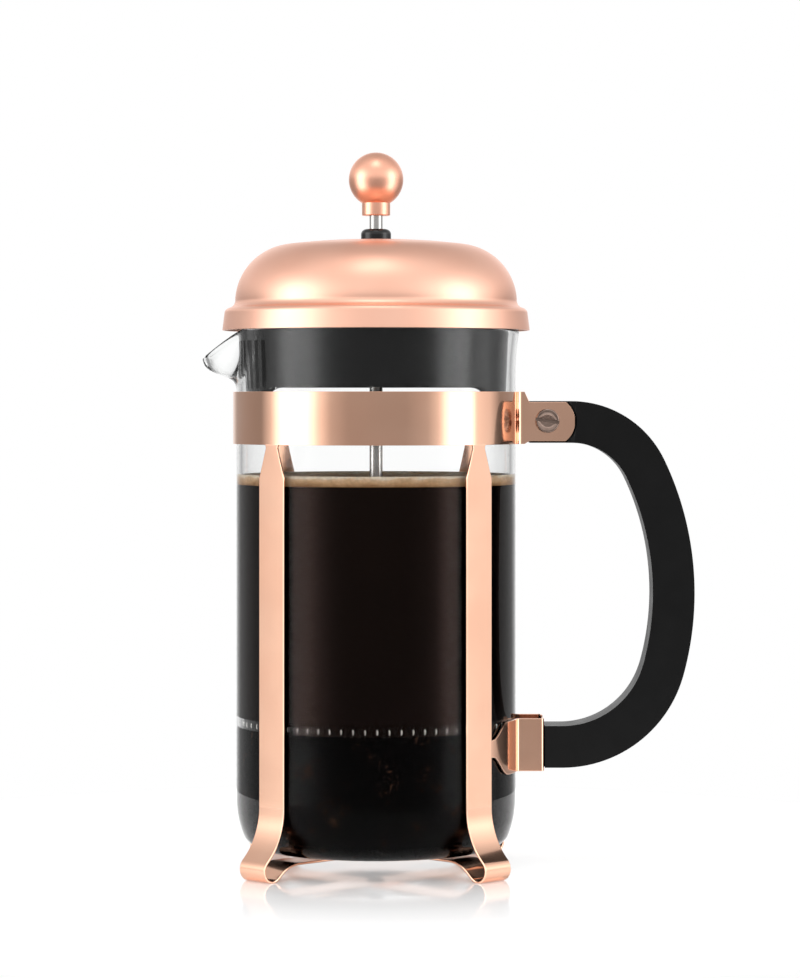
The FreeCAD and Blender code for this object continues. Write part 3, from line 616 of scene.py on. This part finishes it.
def make_wing(name, side):
    """Half of the handle's lower socket: side is -1 at the front and 1 at the rear."""
    middle_y = wing_side + wing_bend
    middle_x = math.sqrt((ring_radius + wing_bend) ** 2 - middle_y ** 2)
    meet = math.degrees(math.atan2(middle_y, middle_x))
    points = curl((0, 0), ring_radius, wing_from_angle, meet, 12)
    points += curl((middle_x, middle_y), wing_bend, 180 + meet, 270, 6)[1:]
    points += rows(points[-1], (wing_end - 0.9, wing_side), 3)
    points += curl((wing_end - 0.9, wing_side - 0.9), 0.9, 90, 0, 4)[1:]
    points += rows(points[-1], (wing_end, 4.6), 2)
    run, widths = [], []
    for x, y in points:
        share = min(1, max(0, (x - 39.3) / 5.0))
        share = share * share * (3 - 2 * share)
        run.append((x, side * y, wing_height - wing_lift * share))
        widths.append(wing_narrow + wing_widening * share)
    return lay_strip(name, run, (0, 0, 1), widths, sheet, 0.2)


for name, node, degrees, flat, side in (("front_leg_strap", "front_right_strap", -45, 6.1, -1),
                                        ("rear_leg_strap", "rear_right_strap", 45, 5.3, 1)):
    strap = make_strap(name, flat, degrees)
    carve(strap, make_block((-70, -70, -5), (70, 70, 0)))
    smooth(strap)
    strap = join([strap, make_wing(name + "_wing", side)])
    strap.data.materials.append(copper_plate)
    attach(strap, "frame")
    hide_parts(node)


# ---- Base rivet ----
# A short bare steel rivet through the middle of both straps, under the beaker, with a low round
# head on each side.
rivet_low, rivet_high = span("base_rivet")
head = 3.6
shank = 1.8
outline = [(0, rivet_low.z)]
outline += bow(outline[-1], (head * 0.72, rivet_low.z + 0.25), (head, rivet_low.z + 0.8), 6)
outline += [(head, rivet_low.z + 1.0), (shank, rivet_low.z + 1.0), (shank, rivet_high.z - 0.8),
            (head, rivet_high.z - 0.8)]
outline += bow(outline[-1], (head * 0.7, rivet_high.z - 0.2), (0, rivet_high.z), 6)
base_rivet = turn("rivet", outline, steps=40)
rivet_steel, tree, shader = new_finish("rivet steel", Metallic=1.0)
tone = add_ramp(tree, add_noise(tree, 400, 3), [(0.3, (0.46, 0.45, 0.44)), (0.7, (0.58, 0.57, 0.56))])
tree.links.new(tone, shader.inputs["Base Color"])
hammered = add_noise(tree, 700, 3)
rough = add_ramp(tree, hammered, [(0.3, 0.26), (0.7, 0.40)])
tree.links.new(rough, shader.inputs["Roughness"])
add_bump(tree, shader, hammered, 0.3, 0.02)
base_rivet.data.materials.append(rivet_steel)
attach(base_rivet, "frame")
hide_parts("base_rivet")


# ---- Handle ----
# A solid D-shaped loop moulded in black heat-proof plastic, flat on its sides with rounded
# edges. Its top end is recessed for the band's tabs, and its bottom end sits in the wings.
handle_thick = 14.2
handle_wide = 17.0
handle_top = 152.2
handle_bottom = 41.7
past_side = 12
tab_recess_radius, tab_recess_depth = 9.1, 4.6
tab_recess_middle = (59.3, 9.7, 152.35)
points = [(52.45, handle_top), (57, handle_top), (62, handle_top)]
points += curl((66.5, 124.3), 27.9, 90, 25.6, 22)
points += curl((3.3, 94.0), 98.0, 25.6, -15.53, 30)[1:]
points += curl((63.4, 77.3), 35.6, -15.53, -90, 26)[1:]
points += [(58, handle_bottom), (53, handle_bottom), (49.35, handle_bottom)]
run = [(x, 0, z) for x, z in points]
handle = lay_strip("handle_loop", run, (0, 1, 0), [handle_wide] * len(run), handle_thick, 0)


def cut_side(x_low, x_high, z_low, z_high, depth, side):
    """Recesses one side of the handle from that distance off its middle plane outwards."""
    y_low, y_high = sorted((depth * side, past_side * side))
    carve(handle, make_block((x_low, y_low, z_low), (x_high, y_high, z_high)))


for side in (-1, 1):
    cut_side(40, 64.8, 130, 170, 7.4, side)
    bpy.ops.object.select_all(action="DESELECT")
    x, y, z = tab_recess_middle
    bpy.ops.mesh.primitive_cylinder_add(vertices=96, radius=tab_recess_radius * mm,
                                        depth=tab_recess_depth * mm,
                                        location=(x * mm, y * side * mm, z * mm),
                                        rotation=(math.pi / 2, 0, 0))
    tool = bpy.context.object
    settle(tool)
    carve(handle, tool)
    cut_side(40, 57.5, 30, 55, 8.1, side)
    cut_side(56.3, 57.5, 30, 55, 4.3, side)
soften(handle, 2.6, 5, 50)
smooth(handle, 40)

black_plastic, tree, shader = new_finish("black handle plastic", Specular_IOR_Level=0.2, IOR=1.5)
grain = add_noise(tree, 2600, 2)
tone = add_ramp(tree, add_noise(tree, 90, 4), [(0.3, (0.0016, 0.0016, 0.0017)),
                                               (0.7, (0.0026, 0.0026, 0.0027))])
tree.links.new(tone, shader.inputs["Base Color"])
matt = add_ramp(tree, add_noise(tree, 140, 5), [(0.3, 0.36), (0.7, 0.44)])
tree.links.new(matt, shader.inputs["Roughness"])
add_bump(tree, shader, grain, 0.35, 0.02)
handle.data.materials.append(black_plastic)
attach(handle, "frame")
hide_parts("handle")


# ---- Clamp screw and nut ----
# A slotted steel screw goes through both tabs and the handle, and a hexagon nut behind pulls
# the band tight. The screw's flat head was faced on a lathe and lightly plated.
screw_low, screw_high = span("clamp_screw")
screw_place = Vector((58.3, 0, 152.6))
head_radius = 4.1
head_seat = 8.25
shaft_radius = 2.0
head_face = -screw_low.y
outline = [(0, head_face), (head_radius - 0.35, head_face), (head_radius, head_face - 0.35),
           (head_radius, head_seat), (shaft_radius, head_seat), (shaft_radius, -screw_high.y + 0.4),
           (shaft_radius - 0.4, -screw_high.y), (0, -screw_high.y)]
clamp_screw = turn("screw", outline, steps=72, edge=0.12)
clamp_screw.rotation_euler.x = math.pi / 2
clamp_screw.location = screw_place * mm
settle(clamp_screw)
slot_tool = make_block((-6, -0.5, -1.1), (6, 0.5, 2))
slot_tool.rotation_euler = (math.pi / 2, math.radians(8), 0)
slot_tool.location = (screw_place + Vector((0, screw_low.y, 0))) * mm
settle(slot_tool)
carve(clamp_screw, slot_tool)
smooth(clamp_screw)

nut_low, nut_high = span("clamp_nut")
bpy.ops.object.select_all(action="DESELECT")
nut_corner = 7.0 / math.sqrt(3)
nut_place = (screw_place.x * mm, (nut_low.y + nut_high.y) / 2 * mm, screw_place.z * mm)
bpy.ops.mesh.primitive_cylinder_add(vertices=6, radius=nut_corner * mm, depth=(nut_high.y - nut_low.y) * mm,
                                    location=nut_place, rotation=(math.pi / 2, 0, 0))
clamp_nut = bpy.context.object
clamp_nut.name = "nut"
clamp_nut.data.name = "nut"
settle(clamp_nut)
bpy.ops.object.select_all(action="DESELECT")
bpy.ops.mesh.primitive_cylinder_add(vertices=48, radius=2.05 * mm, depth=20 * mm,
                                    location=(screw_place.x * mm, 10 * mm, screw_place.z * mm),
                                    rotation=(math.pi / 2, 0, 0))
bore = bpy.context.object
settle(bore)
carve(clamp_nut, bore)
soften(clamp_nut, 0.3, 3)
smooth(clamp_nut)

turned_steel, tree, shader = new_finish("turned screw steel", Metallic=1.0)
tone = add_ramp(tree, add_noise(tree, 300, 3), [(0.3, (0.24, 0.17, 0.14)), (0.7, (0.33, 0.24, 0.20))])
tree.links.new(tone, shader.inputs["Base Color"])
brushed = add_noise(tree, 900, 3, (0.15, 1, 1))
rough = add_ramp(tree, brushed, [(0.3, 0.22), (0.7, 0.34)])
tree.links.new(rough, shader.inputs["Roughness"])
add_bump(tree, shader, brushed, 0.3, 0.01)
for piece, node in ((clamp_screw, "clamp_screw"), (clamp_nut, "clamp_nut")):
    piece.data.materials.append(turned_steel)
    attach(piece, "frame")
    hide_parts(node)


# ---- Lid dome ----
# A low dome spun from steel sheet and plated with copper like the frame. Its edge rolls out
# and then down over the plastic inner lid.
dome_low, dome_high = span("lid_dome")
dome_radius = dome_high.y
dome_top = dome_high.z


def shell(outline, thickness):
    """The same outline moved inwards by a sheet's thickness, from its end back to its start."""
    inner = []
    for i, (x, y) in enumerate(outline):
        before, after = outline[max(i - 1, 0)], outline[min(i + 1, len(outline) - 1)]
        along = Vector((after[0] - before[0], after[1] - before[1])).normalized()
        inner.append((x + along.y * thickness, y - along.x * thickness))
    return inner[::-1]


outer = [(4.0, dome_top)]
outer += bow(outer[-1], (17, dome_top - 0.3), (29, dome_top - 1.4), 14)
outer += bow(outer[-1], (42.5, dome_top - 7.4), (48.2, dome_top - 20.2), 26)
outer += bow(outer[-1], (48.75, dome_top - 22.3), (50.3, dome_top - 23.3), 8)
outer += bow(outer[-1], (50.85, dome_top - 23.5), (51.2, dome_top - 23.8), 3)
outer += bow(outer[-1], (51.65, dome_top - 24.3), (dome_radius - 0.75, dome_top - 25.0), 5)
outer += rows(outer[-1], (dome_radius, dome_low.z), 3)
dome_outline = outer + shell(outer, sheet)
lid_dome = turn("dome", dome_outline + [dome_outline[0]], steps=176, edge=0.15)
satin_copper, tree, shader = new_finish("satin copper plating", Metallic=1.0)
tone = add_ramp(tree, add_noise(tree, 40, 3), [(0.3, (0.92, 0.51, 0.375)), (0.7, (0.95, 0.565, 0.425))])
tree.links.new(tone, shader.inputs["Base Color"])
polish = add_ramp(tree, add_noise(tree, 60, 5), [(0.3, 0.34), (0.7, 0.40)])
tree.links.new(polish, shader.inputs["Roughness"])
add_bump(tree, shader, add_noise(tree, 300, 3), 0.2, 0.004)
lid_dome.data.materials.append(satin_copper)
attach(lid_dome, "lid")
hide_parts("lid_dome")


# ---- Inner lid ----
# A black plastic moulding under the dome: a plate that closes the beaker, a tube up to the
# bush, and a skirt with a comb of slots that strains the coffee at the spout.
insert_low, insert_high = span("lid_insert")
plate_low = 184.2
plate_high = plate_low + 2.0
tube_bore, tube_radius, plate_edge = 3.9, 6.0, 51.3
outline = [(tube_bore, plate_low), (tube_bore, insert_high.z), (tube_radius, insert_high.z),
           (tube_radius, plate_high), (plate_edge, plate_high), (plate_edge, plate_low),
           (45.6, plate_low), (45.2, 180.0), (44.5, 163.0), (44.5, insert_low.z + 1.2),
           (44.85, insert_low.z + 0.9), (44.85, insert_low.z), (42.9, insert_low.z), (42.9, 163.0),
           (43.4, plate_low), (tube_bore, plate_low)]
lid_insert = turn("inner_lid", outline, steps=176)
arch = make_block((-38.5, -60, insert_low.z - 10), (38.5, 60, 164))
bpy.ops.object.mode_set(mode="EDIT")
bpy.ops.mesh.select_all(action="DESELECT")
bpy.ops.object.mode_set(mode="OBJECT")
for edge in arch.data.edges:
    ends = [arch.data.vertices[i].co / mm for i in edge.vertices]
    edge.select = all(end.z > 160 for end in ends) and abs(ends[0].x - ends[1].x) < 1
bpy.ops.object.mode_set(mode="EDIT")
bpy.ops.mesh.select_mode(type="EDGE")
bpy.ops.mesh.bevel(offset=5 * mm, segments=5, affect="EDGES")
bpy.ops.object.mode_set(mode="OBJECT")
carve(lid_insert, arch)
slots = []
slot_count = 13
for i in range(slot_count):
    tool = make_block((-50, -1.2, 163.5), (-40, 1.2, 180))
    tool.rotation_euler.z = math.radians(-35 + 70 * i / (slot_count - 1))
    settle(tool)
    slots.append(tool)
carve(lid_insert, join(slots))
soften(lid_insert, 0.25, 2, 40)
smooth(lid_insert)

satin_plastic, tree, shader = new_finish("satin lid plastic", Specular_IOR_Level=0.5, IOR=1.5)
tone = add_ramp(tree, add_noise(tree, 60, 4), [(0.3, (0.002, 0.002, 0.002)), (0.7, (0.003, 0.003, 0.0031))])
tree.links.new(tone, shader.inputs["Base Color"])
satin = add_ramp(tree, add_noise(tree, 180, 4), [(0.3, 0.15), (0.7, 0.20)])
tree.links.new(satin, shader.inputs["Roughness"])
add_bump(tree, shader, add_noise(tree, 1800, 2), 0.15, 0.003)
lid_insert.data.materials.append(satin_plastic)
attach(lid_insert, "lid")
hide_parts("lid_insert")


# ---- Bush and lock ring ----
# A flanged black bush lines the hole for the rod. Its stem goes down through the dome and the
# inner lid, and a round lock ring pressed on from below holds all of them together.
bush_low, bush_high = span("lid_bush")
bush_bore = 2.35
bush_flange = bush_high.y
bush_seat = dome_top + 0.2
outline = [(bush_bore, bush_low.z), (bush_bore, bush_high.z - 0.3), (bush_bore + 0.3, bush_high.z),
           (3.25, bush_high.z)]
outline += bow(outline[-1], (4.75, bush_high.z - 0.65), (bush_flange, bush_seat + 1.6), 7)
outline += [(bush_flange, bush_seat), (3.8, bush_seat), (3.8, bush_low.z), (bush_bore, bush_low.z)]
lid_bush = turn("bush", outline, steps=80, edge=0.12)
ring_low, ring_high = span("lock_ring")
ring_bore = 3.85
outline = [(ring_bore, ring_low.z), (ring_bore, ring_high.z), (ring_high.y, ring_high.z),
           (ring_high.y, ring_low.z), (ring_bore, ring_low.z)]
lock_ring = turn("bush_lock_ring", outline, steps=80, edge=0.4)
for piece, node in ((lid_bush, "lid_bush"), (lock_ring, "lock_ring")):
    piece.data.materials.append(satin_plastic)
    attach(piece, "lid_guide")
    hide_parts(node)


# ---- Knob ----
# A hollow steel ball on a turned steel collar, both plated with copper. The ball screws onto
# the top of the rod.
ball_high = span("knob_ball")[1]
ball_radius = ball_high.y
ball_middle = ball_high.z - ball_radius
seat_radius = 3.0
seat_height = ball_middle - ball_radius * math.sin(math.acos(seat_radius / ball_radius))
outline = [(0, seat_height), (seat_radius, seat_height)]
outline += bow(outline[-1], (ball_radius, ball_middle), (0.0, ball_high.z), 56)
knob_ball = turn("ball", outline, steps=112)
collar_low, collar_high = span("knob_collar")


def washer(bore, radius, low, high):
    """The closed outline of a flat ring."""
    return [(bore, low), (radius, low), (radius, high), (bore, high), (bore, low)]


collar_outline = washer(2.3, collar_high.y, collar_low.z, collar_high.z)
knob_collar = turn("ball_collar", collar_outline, steps=80, edge=0.35)
knob_copper, tree, shader = new_finish("knob copper plating", Metallic=1.0)
tone = add_ramp(tree, add_noise(tree, 60, 3), [(0.3, (0.93, 0.47, 0.33)), (0.7, (0.96, 0.52, 0.37))])
tree.links.new(tone, shader.inputs["Base Color"])
polish = add_ramp(tree, add_noise(tree, 90, 4), [(0.3, 0.30), (0.7, 0.36)])
tree.links.new(polish, shader.inputs["Roughness"])
for piece, node in ((knob_ball, "knob_ball"), (knob_collar, "knob_collar")):
    piece.data.materials.append(knob_copper)
    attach(piece, "plunger")
    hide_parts(node)


# ---- Rod ----
# A drawn stainless rod from the ball to the filter, threaded at its lower end. A small steel
# stop on it bears on the filter's top plate.
rod_low, rod_high = span("plunger_rod")
rod_radius = rod_high.y
thread_top = 53.0
outline = [(0, rod_low.z), (rod_radius - 0.5, rod_low.z)]
z = rod_low.z + 0.2
pitch = 0.7
while z < thread_top - 0.8:
    outline += [(rod_radius - 0.05, z + 0.3), (rod_radius - 0.35, z + 0.65)]
    z += pitch
outline += [(rod_radius, thread_top), (rod_radius, rod_high.z - 0.6), (rod_radius - 0.5, rod_high.z),
            (0, rod_high.z)]
plunger_rod = turn("rod", outline, steps=48)
stop_low, stop_high = span("rod_stop")
on_rod = rod_radius + 0.05
outline = washer(on_rod, stop_high.y, stop_low.z, stop_high.z)
rod_stop = turn("stop_ring", outline, steps=56, edge=0.3)

drawn_steel, tree, shader = new_finish("drawn stainless steel", Metallic=1.0)
draw_lines = add_noise(tree, 700, 4, (1, 1, 0.02))
tone = add_ramp(tree, draw_lines, [(0.3, (0.50, 0.49, 0.475)), (0.7, (0.60, 0.585, 0.565))])
tree.links.new(tone, shader.inputs["Base Color"])
rough = add_ramp(tree, draw_lines, [(0.3, 0.16), (0.7, 0.27)])
tree.links.new(rough, shader.inputs["Roughness"])
add_bump(tree, shader, draw_lines, 0.15, 0.006)
for piece, node in ((plunger_rod, "plunger_rod"), (rod_stop, "rod_stop")):
    piece.data.materials.append(drawn_steel)
    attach(piece, "plunger")
    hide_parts(node)


# ---- Filter ----
# Three steel discs screwed together on the rod: a pierced plate with a coil spring round it, a
# fine woven mesh, drawn flat without its turned-up rim, and a cross plate with four windows, on a threaded hub.
plate_box_low, plate_box_high = span("spiral_plate")
plate_radius = plate_box_high.y
spiral_plate = turn("pierced_plate", washer(on_rod, plate_radius, plate_box_low.z, plate_box_high.z), steps=128)
drills = []
for ring_of_holes, count, hole_radius in ((13.0, 6, 2.6), (23.0, 12, 3.0), (33.5, 18, 3.0)):
    for i in range(count):
        angle = 2 * math.pi * i / count
        bpy.ops.object.select_all(action="DESELECT")
        bpy.ops.mesh.primitive_cylinder_add(
            vertices=32, radius=hole_radius * mm, depth=6 * mm,
            location=(ring_of_holes * math.cos(angle) * mm, ring_of_holes * math.sin(angle) * mm,
                      plate_box_low.z * mm))
        drills.append(bpy.context.object)
        settle(drills[-1])
carve(spiral_plate, join(drills))
soften(spiral_plate, 0.12, 2, 40)
smooth(spiral_plate)

coil_count = 72
coil_radius = 1.5
wire = 0.25
wire_radius = wire / 1.05
spring_low, spring_high = span("rim_spring")
spring_middle = (spring_low.z + spring_high.z) / 2
spring_ring = inner_radius + 0.05 - coil_radius - wire
bpy.ops.object.select_all(action="DESELECT")
bpy.ops.mesh.primitive_torus_add(major_segments=18, minor_segments=7, major_radius=coil_radius * mm,
                                 minor_radius=wire_radius * mm,
                                 location=(spring_ring * mm, 0, spring_middle * mm),
                                 rotation=(math.pi / 2, 0, math.radians(32)))
rim_spring = bpy.context.object
rim_spring.name = "coil_spring"
rim_spring.data.name = "coil_spring"
settle(rim_spring)
bpy.ops.object.mode_set(mode="EDIT")
bpy.ops.mesh.select_all(action="SELECT")
bpy.ops.mesh.spin(steps=coil_count, dupli=True, angle=2 * math.pi, center=(0, 0, 0), axis=(0, 0, 1))
bpy.ops.mesh.select_all(action="SELECT")
bpy.ops.mesh.remove_doubles(threshold=0.002 * mm)
bpy.ops.mesh.normals_make_consistent(inside=False)
bpy.ops.object.mode_set(mode="OBJECT")
smooth(rim_spring, 60)

mesh_low = span("filter_mesh")[0]
mesh_edge = inner_radius + 0.04
filter_mesh = turn("woven_mesh", washer(on_rod, mesh_edge, mesh_low.z + 0.02, mesh_low.z + 0.3), steps=128)

cross_low, cross_high = span("cross_plate")
cross_plate = turn("cross_disc", washer(on_rod, cross_high.y, cross_low.z, cross_high.z), steps=128)
windows = []
for i in range(4):
    bpy.ops.object.select_all(action="DESELECT")
    bpy.ops.mesh.primitive_cube_add(size=1, location=(21.5 * mm, 0, cross_low.z * mm),
                                    scale=(23 * mm, 14 * mm, 8 * mm))
    tool = bpy.context.object
    settle(tool)
    bpy.ops.object.mode_set(mode="EDIT")
    bpy.ops.mesh.select_all(action="DESELECT")
    bpy.ops.object.mode_set(mode="OBJECT")
    for vertex in tool.data.vertices:
        vertex.select = vertex.co.x > 25 * mm
    bpy.ops.object.mode_set(mode="EDIT")
    bpy.ops.transform.resize(value=(1, 2.7, 1), center_override=(33 * mm, 0, cross_low.z * mm))
    bpy.ops.object.mode_set(mode="OBJECT")
    soften(tool, 2.5, 4, 50)
    tool.rotation_euler.z = math.radians(45 + 90 * i)
    settle(tool)
    windows.append(tool)
carve(cross_plate, join(windows))
soften(cross_plate, 0.2, 2, 40)
smooth(cross_plate)

hub_low, hub_high = span("threaded_hub")
threaded_hub = turn("hub", washer(on_rod, hub_high.y, hub_low.z, hub_high.z - 0.05), steps=64, edge=0.45)

pressed_steel, tree, shader = new_finish("pressed stainless steel", Metallic=1.0)
cloudy = add_noise(tree, 120, 5)
tone = add_ramp(tree, cloudy, [(0.3, (0.52, 0.505, 0.49)), (0.7, (0.62, 0.605, 0.585))])
tree.links.new(tone, shader.inputs["Base Color"])
rough = add_ramp(tree, cloudy, [(0.3, 0.20), (0.7, 0.32)])
tree.links.new(rough, shader.inputs["Roughness"])
add_bump(tree, shader, add_noise(tree, 900, 3), 0.2, 0.01)

woven_steel, tree, shader = new_finish("woven steel mesh", Metallic=1.0)
place = add_node(tree, "TexCoord").outputs["Object"]
warp, weft = [add_node(tree, "TexWave", {"Vector": place, "Scale": 320.0}, bands_direction=direction,
                       wave_profile="SIN").outputs["Fac"] for direction in "XY"]
weave = add_math(tree, "MAXIMUM", warp, weft)
tone = add_ramp(tree, weave, [(0.35, (0.05, 0.05, 0.05)), (0.7, (0.5, 0.49, 0.475)),
                              (1.0, (0.66, 0.65, 0.63))])
tree.links.new(tone, shader.inputs["Base Color"])
rough = add_ramp(tree, weave, [(0.3, 0.5), (0.9, 0.25)])
tree.links.new(rough, shader.inputs["Roughness"])
add_bump(tree, shader, weave, 0.7, 0.12)
for piece, node, finish in ((spiral_plate, "spiral_plate", pressed_steel),
                            (rim_spring, "rim_spring", drawn_steel),
                            (filter_mesh, "filter_mesh", woven_steel),
                            (cross_plate, "cross_plate", pressed_steel),
                            (threaded_hub, "threaded_hub", pressed_steel)):
    piece.data.materials.clear()
    piece.data.materials.append(finish)
    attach(piece, "plunger")
    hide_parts(node)
